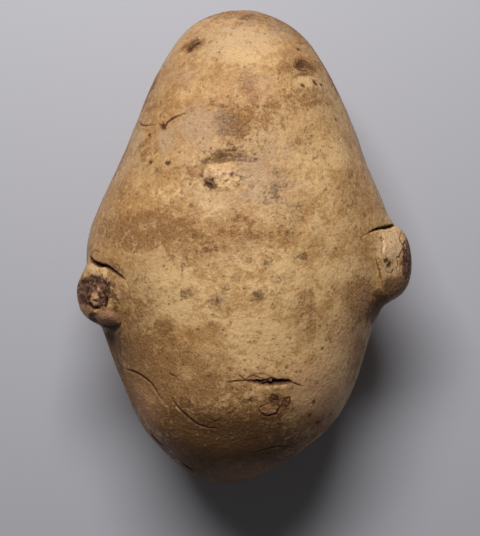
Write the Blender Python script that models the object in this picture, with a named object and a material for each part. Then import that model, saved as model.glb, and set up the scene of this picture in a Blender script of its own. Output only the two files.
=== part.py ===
"""A potato with a knob on either side, lying on a small flat spot of its belly.

Blender 4.5, metres, +Z up. +Y runs from the blunt chin end to the narrow crown end and +X
points to the right knob. The origin lies under the middle of the potato's box, on the
surface that it rests on. A tuber grows as one piece, so the whole of it is one solid.
"""

import math
from dataclasses import dataclass

import bmesh
import bpy
from mathutils import Vector

# ---- Driving dimensions of the body, without its knobs, in metres ----
LENGTH = 0.120
WIDTH = 0.0785
THICKNESS = 0.060
FLAT_DEPTH = 0.0005  # how much of the belly's roundness the flat spot takes away
SECTION_POWER = 2.1  # 2 is an ellipse, and more is a squarer cross-section

# ---- The body's cross-sections, evenly spaced in angle from the chin tip to the crown tip ----
# Sideways shift and half width are shares of WIDTH. The height of the widest line, the rise
# above it and the drop below it are shares of THICKNESS.
SECTIONS = (
    # shift, half width, height, rise, drop
    (-0.036, 0.000, 0.450, 0.000, 0.000),
    (-0.026, 0.159, 0.455, 0.235, 0.226),
    (0.004, 0.324, 0.468, 0.428, 0.370),
    (0.004, 0.421, 0.474, 0.512, 0.434),
    (0.010, 0.492, 0.472, 0.528, 0.472),
    (0.021, 0.387, 0.470, 0.492, 0.446),
    (0.020, 0.284, 0.462, 0.388, 0.364),
    (0.014, 0.167, 0.458, 0.212, 0.208),
    (0.002, 0.000, 0.455, 0.000, 0.000),
)

# ---- Swells and hollows of the skin ----
# Where each lies, as degrees along from the chin tip and around from the right side up, then
# its radius and its height in metres, which is negative for a hollow.
SWELLS = (
    (40.0, 92.0, 0.014, 0.0012),  # lip below the split
    (43.0, 140.0, 0.011, 0.0007),  # cheek at the lower left
    (112.0, 100.0, 0.015, -0.0011),  # hollow around the middle eye
    (134.0, 62.0, 0.013, 0.0007),  # forehead
    (146.0, 118.0, 0.009, -0.0005),  # hollow of the eye at the crown's left
    (74.0, 222.0, 0.018, 0.0012),  # back, left
    (116.0, 306.0, 0.014, -0.0012),  # hollow of an eye on the back
    (52.0, 318.0, 0.014, 0.0008),  # back, right
    (104.0, 214.0, 0.012, -0.0008),  # hollow of an eye low on the left flank
)

BODY_FACETS = 5  # subdivisions of the sphere that the body is drawn out of
KNOB_CUTS = 2  # cuts in each edge of the skin that a knob grows from
KNOB_ZONE = 1.35  # reach of those cuts, as a share of the knob's size along the body
CUT_MARGIN = 1e-6  # how near the flat spot's level a point counts as on it, in metres

SKIN_COLOUR = (0.52, 0.34, 0.15, 1.0)
SKIN_ROUGHNESS = 0.62


@dataclass(frozen=True)
class Knob:
    """A knob of second growth: a blunt egg that swelled out of the flank."""

    side: int  # 1 on the right flank and -1 on the left
    along: float  # place along the body, in degrees
    around: float  # height around the body, in degrees above the widest line
    lift: float  # how far its axis points above the horizontal, in degrees
    across: float  # size from belly to back
    long: float  # size along the body
    depth: float  # how deep its centre lies under the skin
    reach: float  # how far its tip would stand out of the skin unworn
    power: float  # 2 is an ellipsoid, and more is a boxier form
    worn_tilt: float  # how far its worn face looks above its axis, in degrees
    worn: float  # how much of its roundness the worn face has lost
    edge: float  # rounding of the worn face's edge
    root: float  # rounding of the fold where it leaves the skin

    def direction(self, degrees):
        """Return the outward direction at this angle above the horizontal."""
        return Vector((self.side * math.cos(math.radians(degrees)), 0, math.sin(math.radians(degrees))))

    def centre(self):
        """Return the egg's centre, under the skin."""
        around = self.around if self.side > 0 else 180 - self.around
        return skin_point(self.along, around) - self.direction(self.lift) * self.depth

    def radius(self, ray):
        """Return the distance from the egg's centre to its surface along a unit vector."""
        axes = (self.direction(self.lift), Vector((0, 1, 0)), self.direction(self.lift + 90))
        halves = (self.depth + self.reach, self.long / 2, self.across / 2)
        shares = [abs(ray.dot(axis)) / half for axis, half in zip(axes, halves)]
        egg = sum(share**self.power for share in shares) ** (-1 / self.power)
        outward = self.direction(self.lift + self.worn_tilt)
        full = math.hypot(*(half * outward.dot(axis) for axis, half in zip(axes, halves)))
        if ray.dot(outward) <= 0:
            return egg
        return -smooth_max(-egg, (self.worn - full) / ray.dot(outward), self.edge)


LEFT_KNOB = Knob(
    side=-1,
    along=79.0,
    around=24.0,
    lift=38.0,
    across=0.0180,
    long=0.0164,
    depth=0.0050,
    reach=0.0052,
    power=2.3,
    worn_tilt=4.0,
    worn=0.0014,
    edge=0.0016,
    root=0.0020,
)
RIGHT_KNOB = Knob(
    side=1,
    along=85.0,
    around=18.0,
    lift=26.0,
    across=0.0185,
    long=0.0180,
    depth=0.0050,
    reach=0.0053,
    power=2.6,
    worn_tilt=24.0,
    worn=0.0014,
    edge=0.0014,
    root=0.0016,
)


def clear_scene():
    """Remove every object, so that the scene holds nothing but the potato."""
    for thing in list(bpy.data.objects):
        bpy.data.objects.remove(thing)


def smooth_max(first, second, rounding):
    """Return the larger of two lengths, rounded off where they are about the same."""
    return (first + second + math.hypot(first - second, rounding)) / 2


def section_at(degrees_along):
    """Return the cross-section's five values there, on a smooth curve through SECTIONS."""
    last = len(SECTIONS) - 1
    place = degrees_along / 180 * last
    first = max(0, min(int(place), last - 1))
    t = place - first

    def mirrored(index):
        # Past a tip the curve goes on as its mirror image, where what closes up turns negative.
        if 0 <= index <= last:
            return SECTIONS[index]
        shift, half, height, rise, drop = SECTIONS[-index if index < 0 else 2 * last - index]
        return (shift, -half, height, -rise, -drop)

    before, start, end, after = (mirrored(first + step) for step in (-1, 0, 1, 2))
    return [
        b + 0.5 * t * (c - a + t * (2 * a - 5 * b + 4 * c - d + t * (3 * (b - c) + d - a)))
        for a, b, c, d in zip(before, start, end, after)
    ]


def skin_point(degrees_along, degrees_around):
    """Return the body's surface point, along from the chin tip and around from the right side up."""
    shift, half, height, rise, drop = section_at(degrees_along)
    side = math.cos(math.radians(degrees_around))
    up = math.sin(math.radians(degrees_around))
    size = (abs(side) ** SECTION_POWER + abs(up) ** SECTION_POWER) ** (1 / SECTION_POWER)
    vertical = rise if up > 0 else drop
    return Vector(
        (
            WIDTH * (shift + half * side / size),
            -LENGTH / 2 * math.cos(math.radians(degrees_along)),
            THICKNESS * (height + vertical * up / size),
        )
    )


def potato_mesh():
    """Return the potato's bmesh: a sphere drawn out to the sections, swelled, with its knobs grown."""
    bm = bmesh.new()
    bmesh.ops.create_icosphere(bm, subdivisions=BODY_FACETS, radius=1)
    for knob in (LEFT_KNOB, RIGHT_KNOB):
        refine_flank(bm, knob)
    for vert in bm.verts:
        vert.co = skin_point(*angles_of(vert.co))
    bm.normal_update()
    for vert in bm.verts:
        vert.co += vert.normal * swell_at(vert.co)
    for knob in (LEFT_KNOB, RIGHT_KNOB):
        grow_knob(bm, knob)
    cut_flat_spot(bm)
    return bm


def angles_of(point):
    """Return a sphere point's degrees along from the chin tip and around from the right side up."""
    place = point.normalized()
    along = math.acos(max(-1, min(1, -place.y)))
    return math.degrees(along), math.degrees(math.atan2(place.z, place.x))


def refine_flank(bm, knob):
    """Cut the sphere's edges finer where this knob will grow."""
    centre = knob.centre()
    zone = knob.long * KNOB_ZONE
    edges = [
        edge
        for edge in bm.edges
        if all((skin_point(*angles_of(v.co)) - centre).length < zone for v in edge.verts)
    ]
    bmesh.ops.subdivide_edges(bm, edges=edges, cuts=KNOB_CUTS, use_grid_fill=True)
    bmesh.ops.triangulate(bm, faces=bm.faces[:])


def swell_at(point):
    """Return how far the swells and hollows lift the skin there."""
    lifts = (
        height * math.exp(-(point - skin_point(along, around)).length_squared / radius**2)
        for along, around, radius, height in SWELLS
    )
    return sum(lifts)


def grow_knob(bm, knob):
    """Push the skin out, straight away from the knob's centre, to wherever the knob is larger."""
    centre = knob.centre()
    for vert in bm.verts:
        ray = vert.co - centre
        distance = ray.length
        ray.normalize()
        vert.co = centre + ray * smooth_max(distance, knob.radius(ray), knob.root)


def cut_flat_spot(bm):
    """Cut the belly off FLAT_DEPTH above its lowest point and close it with one flat face."""
    level = min(vert.co.z for vert in bm.verts) + FLAT_DEPTH
    cut = bmesh.ops.bisect_plane(
        bm,
        geom=bm.verts[:] + bm.edges[:] + bm.faces[:],
        dist=CUT_MARGIN,
        plane_co=(0, 0, level),
        plane_no=(0, 0, -1),
        clear_outer=True,
    )
    rim = [item for item in cut["geom_cut"] if isinstance(item, bmesh.types.BMEdge)]
    bmesh.ops.edgeloop_fill(bm, edges=rim)
    bmesh.ops.recalc_face_normals(bm, faces=bm.faces[:])


def seat_on_origin(bm):
    """Move the mesh so that the middle of its box is over the origin and its flat spot at Z 0."""
    low = Vector(map(min, zip(*(vert.co for vert in bm.verts))))
    high = Vector(map(max, zip(*(vert.co for vert in bm.verts))))
    shift = Vector((-(low.x + high.x) / 2, -(low.y + high.y) / 2, -low.z))
    bmesh.ops.translate(bm, vec=shift, verts=bm.verts[:])


def skin_material():
    """Return the potato's plain skin material."""
    material = bpy.data.materials.new("potato_skin")
    material.use_nodes = True
    shader = material.node_tree.nodes["Principled BSDF"]
    shader.inputs["Base Color"].default_value = SKIN_COLOUR
    shader.inputs["Roughness"].default_value = SKIN_ROUGHNESS
    shader.inputs["Metallic"].default_value = 0.0
    return material


def main():
    """Build the potato."""
    clear_scene()
    bm = potato_mesh()
    seat_on_origin(bm)
    mesh = bpy.data.meshes.new("potato")
    bm.to_mesh(mesh)
    bm.free()
    mesh.shade_smooth()
    mesh.materials.append(skin_material())
    potato = bpy.data.objects.new("potato", mesh)
    bpy.context.scene.collection.objects.link(potato)


main()
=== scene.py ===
"""A potato's skin, finished over its solid: cracks, eyes, pores, scurf and two corky knobs.

Metres, +Z up, +Y towards the narrow crown and +X towards the right knob, as in the solid. The
marks are given in millimetres, because a tuber's marks are millimetres across.
"""

import logging
import math
import random
from dataclasses import dataclass, field
from enum import Enum

import bmesh
import bpy
import numpy as np
from mathutils import Matrix, Vector, kdtree, noise
from mathutils.bvhtree import BVHTree


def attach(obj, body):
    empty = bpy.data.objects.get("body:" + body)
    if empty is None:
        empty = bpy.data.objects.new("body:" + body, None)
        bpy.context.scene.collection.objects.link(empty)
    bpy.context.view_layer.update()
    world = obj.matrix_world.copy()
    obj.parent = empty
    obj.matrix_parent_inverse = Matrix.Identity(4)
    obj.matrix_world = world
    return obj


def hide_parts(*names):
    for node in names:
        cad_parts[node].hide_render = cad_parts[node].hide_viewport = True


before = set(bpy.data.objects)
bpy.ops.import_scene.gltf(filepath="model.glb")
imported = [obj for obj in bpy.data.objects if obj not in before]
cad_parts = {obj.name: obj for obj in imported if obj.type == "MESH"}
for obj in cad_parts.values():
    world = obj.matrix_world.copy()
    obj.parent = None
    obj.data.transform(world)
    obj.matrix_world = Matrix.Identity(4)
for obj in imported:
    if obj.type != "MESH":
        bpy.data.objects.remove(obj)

log = logging.getLogger("potato")

NODE = "potato"
BODY = "root"
MM = 0.001
TINY = 1e-12

Point = tuple[float, float]
Place = tuple[float, float, float]
Colour = tuple[float, float, float]
Socket = bpy.types.NodeSocket
Value = Socket | float | Colour

# How far outside the potato a mark's line of sight starts.
OUTSIDE = 0.3


class Seen(Enum):
    """The side that a mark's two coordinates are read from, as (outward, first axis, second axis)."""

    ABOVE = ((0, 0, 1), 0, 1)
    BELOW = ((0, 0, -1), 0, 1)
    LEFT = ((-1, 0, 0), 1, 2)
    RIGHT = ((1, 0, 0), 1, 2)
    CHIN = ((0, -1, 0), 0, 2)
    CROWN = ((0, 1, 0), 0, 2)

    def origin(self, at: Point) -> Vector:
        """Return a point well outside the potato, over these coordinates in millimetres."""
        outward, first, second = self.value
        place = Vector(outward) * OUTSIDE
        place[first] = at[0] * MM
        place[second] = at[1] * MM
        return place

    def inward(self) -> Vector:
        """Return the direction from outside to the potato."""
        return -Vector(self.value[0])


class Tint(Enum):
    """What a mark leaves in the skin besides its shape, by the name of its attribute."""

    # The dark of cracks and pits: soil and dark spots, and in the cracks painted shade too.
    CRACK = "crack"
    CORK = "cork"
    FLESH = "flesh"
    LILAC = "lilac"
    # Russet skin; some russet patches are painted shade, under the knobs and over the chin.
    RUSSET = "russet"
    # Dark brown skin; some umber patches are painted shade, under the knobs, along the brow and over the
    # chin.
    UMBER = "umber"
    # Pale skin; some pale patches are painted light, on the knobs and the middle eye.
    PALE = "pale"
    ROSE = "rose"
    # Bare skin, and painted light: the right knob's face and the middle eye's mound.
    BARE = "bare"
    PORE_NEAR = "pore_near"
    PORE_FILL = "pore_fill"


PORE = "pore"

# What each unit of a noise's seed moves its pattern by.
SEED_STEP = (7.3, 3.1, 5.7)


# ---- The skin as arrays, and what measures it ----


@dataclass
class Nearness:
    """How the vertices close to a line lie to it."""

    index: np.ndarray
    gap: np.ndarray
    side: np.ndarray
    station: np.ndarray
    across: np.ndarray


@dataclass
class Skin:
    """The skin's vertices, and how far and in what tint the marks have moved them."""

    points: np.ndarray
    normals: np.ndarray
    moves: np.ndarray = field(init=False)
    tints: dict = field(init=False)

    def __post_init__(self) -> None:
        """Start with no move and no tint."""
        self.moves = np.zeros_like(self.points)
        self.tints = {tint: np.zeros(len(self.points)) for tint in Tint}

    def near(self, line: np.ndarray, reach: float) -> Nearness:
        """Measure the vertices around a line.

        Args:
            line: the line's points, in metres.
            reach: how far from the line to look.

        Returns:
            Each such vertex's index, its distance, the signed distance across the line, its
            place along the line from 0 to 1, and the direction across.
        """
        inside = (self.points > line.min(0) - reach) & (self.points < line.max(0) + reach)
        index = np.flatnonzero(inside.all(1))
        points = self.points[index]
        starts = line[:-1]
        runs = line[1:] - starts
        squares = (runs**2).sum(1)
        along = ((points[:, None] - starts) * runs).sum(2) / squares
        share = np.clip(along, 0, 1)
        feet = starts + share[..., None] * runs
        gaps = np.linalg.norm(points[:, None] - feet, axis=2)
        best = gaps.argmin(1)
        rows = np.arange(len(index))
        gap = gaps[rows, best]
        lengths = np.sqrt(squares)
        before = np.concatenate([[0], np.cumsum(lengths)])
        station = (before[best] + share[rows, best] * lengths[best]) / before[-1]
        across = np.cross(self.normals[index], runs[best])
        across /= np.linalg.norm(across, axis=1, keepdims=True) + TINY
        side = ((points - feet[rows, best]) * across).sum(1)
        close = gap < reach
        return Nearness(index[close], gap[close], side[close], station[close], across[close])

    def lift(self, index: np.ndarray, height: np.ndarray) -> None:
        """Move these vertices along their normals."""
        self.moves[index] += self.normals[index] * height[:, None]

    def stain(self, tint: Tint, index: np.ndarray, amount: np.ndarray) -> None:
        """Raise a tint of these vertices to at least this amount."""
        layer = self.tints[tint]
        layer[index] = np.maximum(layer[index], amount)


def wobble(points: np.ndarray, size: float, seed: float) -> np.ndarray:
    """Return smooth noise at these points.

    Args:
        points: the points, in metres.
        size: the noise's grain, in metres.
        seed: moves the pattern.

    Returns:
        Values around 0, mostly within 0.6 either way.
    """
    shift = Vector([seed * step for step in SEED_STEP])
    return np.array([noise.noise(Vector(point) / size + shift) for point in points])


def smooth_line(points: list[Vector], step: float) -> np.ndarray:
    """Return points closely along a smooth curve through a few."""
    ends = [points[0] * 2 - points[1], *points, points[-1] * 2 - points[-2]]
    line = [points[0]]
    for a, b, c, d in zip(ends, ends[1:], ends[2:], ends[3:]):
        steps = max(2, math.ceil((c - b).length / step))
        for k in range(1, steps + 1):
            t = k / steps
            bend = 2 * a - 5 * b + 4 * c - d + t * (3 * (b - c) + d - a)
            line.append(b + 0.5 * t * (c - a + t * bend))
    return np.array(line)


def bell(distance: np.ndarray, width: float) -> np.ndarray:
    """Return a bell curve, 1 at no distance."""
    return np.exp(-((distance / width) ** 2))


# ---- Marks ----


@dataclass
class Mark:
    """Anything that grew on the skin, placed on the side that it is seen from."""

    seen: Seen = field(default=Seen.ABOVE, kw_only=True)

    def line(self, ground: "Ground") -> np.ndarray:
        """Return the points on the skin that the mark follows."""
        raise NotImplementedError

    def reach(self) -> float:
        """Return how far from its line the mark needs fine skin."""
        raise NotImplementedError

    def work(self, skin: Skin, ground: "Ground") -> None:
        """Shape and tint the skin."""
        raise NotImplementedError


@dataclass
class Furrow(Mark):
    """A crack, split, fold or groove along a line, in millimetres."""

    path: list[Point]
    width: float
    depth: float
    left_lip: float = 0.0
    right_lip: float = 0.0
    overhang: float = 0.0
    widest: float = 0.5
    # How dark the furrow is painted: its soil, and painted shade down in it.
    dirt_and_shade: float = 1.0
    rough: float = 0.12

    STEP = 0.5 * MM
    TIP = 0.25  # the width at its tips, as a share of the whole
    TAPER = 0.6
    JAG_GRAIN = 0.9 * MM
    LEAST_GAP = 0.001 * MM
    PAST_TIP = 1.05  # how much longer than the way across a distance is past a tip
    # In widths, then the least in millimetres.
    FINE_SKIN = (1.2, 0.6)
    # In half widths, but for the least reach.
    REACH, LEAST_REACH = 6, 1.5 * MM
    LIP_PLACE, LIP_SPREAD = 2.0, 1.5
    HANG_PLACE, HANG_SPREAD = 0.9, 0.8
    DIRT_AND_SHADE_SPREAD = 1.25

    def line(self, ground: "Ground") -> np.ndarray:
        """Return the furrow's line on the skin."""
        return smooth_line([ground.land(self.seen, at) for at in self.path], self.STEP)

    def reach(self) -> float:
        """Return the width of skin that the furrow and its lips take."""
        widths, least = self.FINE_SKIN
        return max(widths * self.width, least) * MM

    def work(self, skin: Skin, ground: "Ground") -> None:
        """Cut the furrow, raise its lips and darken it with soil and painted shade."""
        half = self.width / 2 * MM
        near = skin.near(self.line(ground), max(self.REACH * half, self.LEAST_REACH))
        points = skin.points[near.index]
        warp = near.station ** (math.log(0.5) / math.log(self.widest))
        taper = np.sin(np.clip(warp, 0, 1) * math.pi) ** self.TAPER
        side = near.side + wobble(points, self.JAG_GRAIN, self.width) * self.rough * 2 * half
        past_tip = near.gap > abs(near.side) * self.PAST_TIP
        across = np.where(past_tip, np.hypot(near.gap, self.LEAST_GAP), abs(side))
        ratio = across / (half * (self.TIP + (1 - self.TIP) * taper))
        skin.lift(near.index, -self.depth * MM * (np.clip(1 - ratio, 0, 1) * taper))
        for lip, sign in ((self.left_lip, 1), (self.right_lip, -1)):
            if lip:
                rise = bell(side * sign - self.LIP_PLACE * half, self.LIP_SPREAD * half)
                skin.lift(near.index, lip * MM * (rise * (side * sign > 0) * taper))
        if self.overhang:
            sign = 1 if self.overhang > 0 else -1
            push = bell(side * sign - self.HANG_PLACE * half, self.HANG_SPREAD * half)
            push = push * taper * (side * sign > 0)
            skin.moves[near.index] -= near.across * (self.overhang * MM * push)[:, None]
        # Soil and painted shade darken the furrow, most along its middle.
        dirt_and_shade_share = np.clip(self.DIRT_AND_SHADE_SPREAD - ratio, 0, 1) * np.sqrt(taper)
        skin.stain(Tint.CRACK, near.index, self.dirt_and_shade * dirt_and_shade_share)


@dataclass
class Spot(Mark):
    """A round or oval lump or hollow, in millimetres, which can leave a tint."""

    at: Point
    size: float
    height: float = 0.0
    stretch: float = 1.0
    heading: float = 0.0
    flat: float = 2.0
    ragged: float = 0.0
    pitted: float = 0.0
    fine: bool = True
    tint: Tint = Tint.CRACK
    amount: float = 0.0

    SHORTEST = 0.01  # millimetres, the length of a round spot's axis
    MARGIN = 0.5  # millimetres
    REACH = 2.5  # radii
    FALL = 0.9
    EDGE_GRAIN = 0.7  # radii
    EDGE_GAIN = 1.6
    TINT_GAIN = 1.6
    PITS = ((1.0, 0.8, 3.0), (0.6, 0.4, 4.0))  # share, grain in millimetres and seed

    def line(self, ground: "Ground") -> np.ndarray:
        """Return the spot's axis on the skin."""
        half = self.size / 2 * (self.stretch - 1)
        turn = math.radians(self.heading)
        run = (half * math.cos(turn), half * math.sin(turn))
        ends = [(self.at[0] - run[0], self.at[1] - run[1]), (self.at[0] + run[0], self.at[1] + run[1])]
        if half < self.SHORTEST:
            ends = [self.at, (self.at[0] + self.SHORTEST, self.at[1])]
        return np.array([ground.land(self.seen, at) for at in ends])

    def reach(self) -> float:
        """Return the radius of skin that the spot takes, or none for a faint one."""
        return (self.size / 2 + self.MARGIN) * MM if self.fine else 0.0

    def work(self, skin: Skin, ground: "Ground") -> None:
        """Raise or sink the spot, roughen it and tint it."""
        radius = self.size / 2 * MM
        near = skin.near(self.line(ground), self.REACH * radius)
        points = skin.points[near.index]
        ratio = near.gap / radius
        if self.ragged:
            edge = wobble(points, radius * self.EDGE_GRAIN, self.size)
            ratio = ratio * (1 + self.ragged * self.EDGE_GAIN * edge)
        shape = np.exp(-(np.abs(ratio) ** self.flat) * self.FALL)
        skin.lift(near.index, self.height * MM * shape)
        if self.pitted:
            grain = sum(share * wobble(points, size * MM, seed) for share, size, seed in self.PITS)
            skin.lift(near.index, self.pitted * MM * grain * shape)
        if self.amount:
            skin.stain(self.tint, near.index, self.amount * np.clip(self.TINT_GAIN * shape, 0, 1))


@dataclass
class Patch(Mark):
    """An oval of tint that fades at its edges, its two sizes in millimetres."""

    at: Point
    size: tuple[float, float]
    tint: Tint
    amount: float = 1.0
    heading: float = 0.0
    fade: float = 0.5

    GRAZING = 3  # how quickly the tint comes in as the skin turns to the patch's side

    def line(self, ground: "Ground") -> np.ndarray:
        """Return the patch's centre."""
        return np.array([ground.land(self.seen, self.at)])

    def reach(self) -> float:
        """Return none, because a patch needs no fine skin."""
        return 0.0

    def work(self, skin: Skin, ground: "Ground") -> None:
        """Tint the skin that faces the patch's side."""
        outward, first, second = self.seen.value
        turn = math.radians(self.heading)
        x = skin.points[:, first] / MM - self.at[0]
        y = skin.points[:, second] / MM - self.at[1]
        along = (x * math.cos(turn) + y * math.sin(turn)) / (self.size[0] / 2)
        across = (y * math.cos(turn) - x * math.sin(turn)) / (self.size[1] / 2)
        ratio = np.hypot(along, across)
        facing = np.clip(skin.normals @ np.array(outward) * self.GRAZING, 0, 1)
        amount = np.clip((1 + self.fade - ratio) / (2 * self.fade), 0, 1) * facing * self.amount
        skin.stain(self.tint, np.arange(len(skin.points)), amount)


@dataclass
class Bulge:
    """A push of the skin around a point in space, in millimetres."""

    centre: Place
    radius: float
    push: Place

    def work(self, skin: Skin) -> None:
        """Push the skin."""
        gap = np.linalg.norm(skin.points - np.array(self.centre) * MM, axis=1) / (self.radius * MM)
        skin.moves += np.exp(-gap**2)[:, None] * np.array(self.push) * MM


@dataclass
class Eye:
    """A dormant eye: a brow over a shallow hollow, with a rough bud in it."""

    seen: Seen
    at: Point
    size: float
    heading: float = 0.0

    def place(self, x: float, y: float) -> Point:
        """Return a point of the eye from its own coordinates, in eye widths."""
        turned = Vector((x, y)) * self.size
        turned.rotate(Matrix.Rotation(math.radians(self.heading), 2))
        return (self.at[0] + turned.x, self.at[1] + turned.y)

    def bud(self, x: float, y: float, size: float, stretch: float) -> Spot:
        """Return one of the small dark pits of the eye's bud."""
        return Spot(self.place(x, y), size, -0.2, stretch=stretch, ragged=0.5, amount=0.6, seen=self.seen)

    def marks(self) -> list[Mark]:
        """Return the marks that make up the eye."""
        size, seen, heading = self.size, self.seen, self.heading
        brow = [self.place(x, 0.40 - 0.9 * x * x) for x in (-0.65, -0.35, 0.0, 0.35, 0.65)]
        lip = 0.04 * size
        return [
            Spot(self.at, 1.5 * size, -0.10 * size, stretch=1.2, heading=heading, fine=False, seen=seen),
            Furrow(brow, 0.16 * size, 0.10 * size, lip, lip, dirt_and_shade=0.5, rough=0.25, seen=seen),
            Spot(self.place(0.05, 0.0), 0.6 * size, 0.07 * size, stretch=1.3, heading=heading, pitted=0.3,
                 seen=seen),
            self.bud(-0.25, -0.15, 0.9, 1.5),
            self.bud(0.22, -0.08, 0.8, 1.4),
            Patch(self.at, (1.5 * size, 1.0 * size), Tint.RUSSET, 0.7, heading, seen=seen),
            Patch(self.place(0.1, 0.0), (0.8 * size, 0.5 * size), Tint.PALE, 0.6, seen=seen),
        ]


@dataclass
class Pores:
    """The lenticels: small rings that the tuber breathes through, scattered over the skin.

    A placed one has its x, its y, its size and how full it is. All sizes are in millimetres.
    """

    placed: list[tuple[float, float, float, float]]
    scattered: int = 1100
    spacing: float = 2.0
    smallest: float = 0.20
    largest: float = 0.48
    seed: int = 11
    near: float = 1.1
    near_fade: float = 0.5
    emptiness: int = 3

    def work(self, skin: Skin, ground: "Ground") -> np.ndarray:
        """Return each vertex's offset from its nearest pore, in radii of that pore."""
        chance = random.Random(self.seed)
        centres = [ground.land(Seen.ABOVE, (x, y)) for x, y, _, _ in self.placed]
        radii = [size / 2 * MM for _, _, size, _ in self.placed]
        fills = [fill for _, _, _, fill in self.placed]
        for _ in range(self.scattered):
            spot = Vector(skin.points[chance.randrange(len(skin.points))])
            if all((spot - other).length > self.spacing * MM + far for other, far in zip(centres, radii)):
                centres.append(spot)
                radii.append(chance.uniform(self.smallest, self.largest) * MM)
                fills.append(chance.random() ** self.emptiness)
        tree = kdtree.KDTree(len(centres))
        for number, centre in enumerate(centres):
            tree.insert(centre, number)
        tree.balance()
        found = [tree.find(point) for point in skin.points]
        nearest = np.array([number for _, number, _ in found])
        gaps = np.array([gap for _, _, gap in found])
        sizes = np.array(radii)[nearest]
        offsets = (skin.points - np.array([centre for centre, _, _ in found])) / sizes[:, None]
        skin.tints[Tint.PORE_NEAR] = np.clip((sizes + self.near * MM - gaps) / (self.near_fade * MM), 0, 1)
        skin.tints[Tint.PORE_FILL] = np.array(fills)[nearest]
        log.info("%d pores", len(centres))
        return offsets


# ---- The tuber ----


@dataclass
class Ground:
    """The bare tuber: the solid's shape, smoothed and cut fine enough to carry the marks."""

    grain: float = 0.88
    rounding: int = 14
    weld: float = 1e-6
    widest_fine: float = 2.2
    bm: bmesh.types.BMesh = field(init=False)
    tree: BVHTree = field(init=False)

    def build(self, solid: bpy.types.Object) -> None:
        """Take the solid's shape onto an even fine mesh, with its facets smoothed away."""
        bm = bmesh.new()
        bm.from_mesh(solid.data)
        bmesh.ops.remove_doubles(bm, verts=bm.verts[:], dist=self.weld)
        mesh = bpy.data.meshes.new("ground")
        bm.to_mesh(mesh)
        bm.free()
        ground = bpy.data.objects.new("ground", mesh)
        bpy.context.scene.collection.objects.link(ground)
        remesh = ground.modifiers.new("even_grain", "REMESH")
        remesh.mode = "VOXEL"
        remesh.voxel_size = self.grain * MM
        even = ground.evaluated_get(bpy.context.evaluated_depsgraph_get())
        self.bm = bmesh.new()
        self.bm.from_mesh(even.to_mesh())
        even.to_mesh_clear()
        bpy.data.objects.remove(ground)
        bpy.data.meshes.remove(mesh)
        for _ in range(self.rounding):
            bmesh.ops.smooth_vert(self.bm, verts=self.bm.verts[:], factor=0.5, use_axis_x=True,
                                  use_axis_y=True, use_axis_z=True)
        self.bm.normal_update()
        self.tree = BVHTree.FromBMesh(self.bm)

    def land(self, seen: Seen, at: Point) -> Vector:
        """Return the point of the bare skin that lies at these coordinates, seen from that side."""
        hit, _, _, _ = self.tree.ray_cast(seen.origin(at), seen.inward())
        if hit is None:
            raise ValueError(f"no skin at {at} seen from {seen.name}")
        return hit

    def refine(self, marks: list[Mark], times: int) -> None:
        """Halve the mesh around the marks, and after the first time around the narrow ones only."""
        lines = [(mark.line(self), mark.reach()) for mark in marks if mark.reach() > 0]
        for step in range(times):
            skin = self.skin()
            chosen = np.zeros(len(skin.points), bool)
            for line, reach in lines:
                if step and reach > self.widest_fine * MM:
                    continue
                closer = reach if step else reach + self.grain * MM
                chosen[skin.near(line, closer).index] = True
            self.bm.verts.ensure_lookup_table()
            edges = [e for e in self.bm.edges if chosen[e.verts[0].index] and chosen[e.verts[1].index]]
            bmesh.ops.subdivide_edges(self.bm, edges=edges, cuts=1, use_grid_fill=True)
            self.bm.verts.index_update()
            self.bm.normal_update()

    def skin(self) -> Skin:
        """Return the mesh's vertices and normals as arrays."""
        points = np.array([vert.co for vert in self.bm.verts])
        normals = np.array([vert.normal for vert in self.bm.verts])
        return Skin(points, normals)


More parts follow.
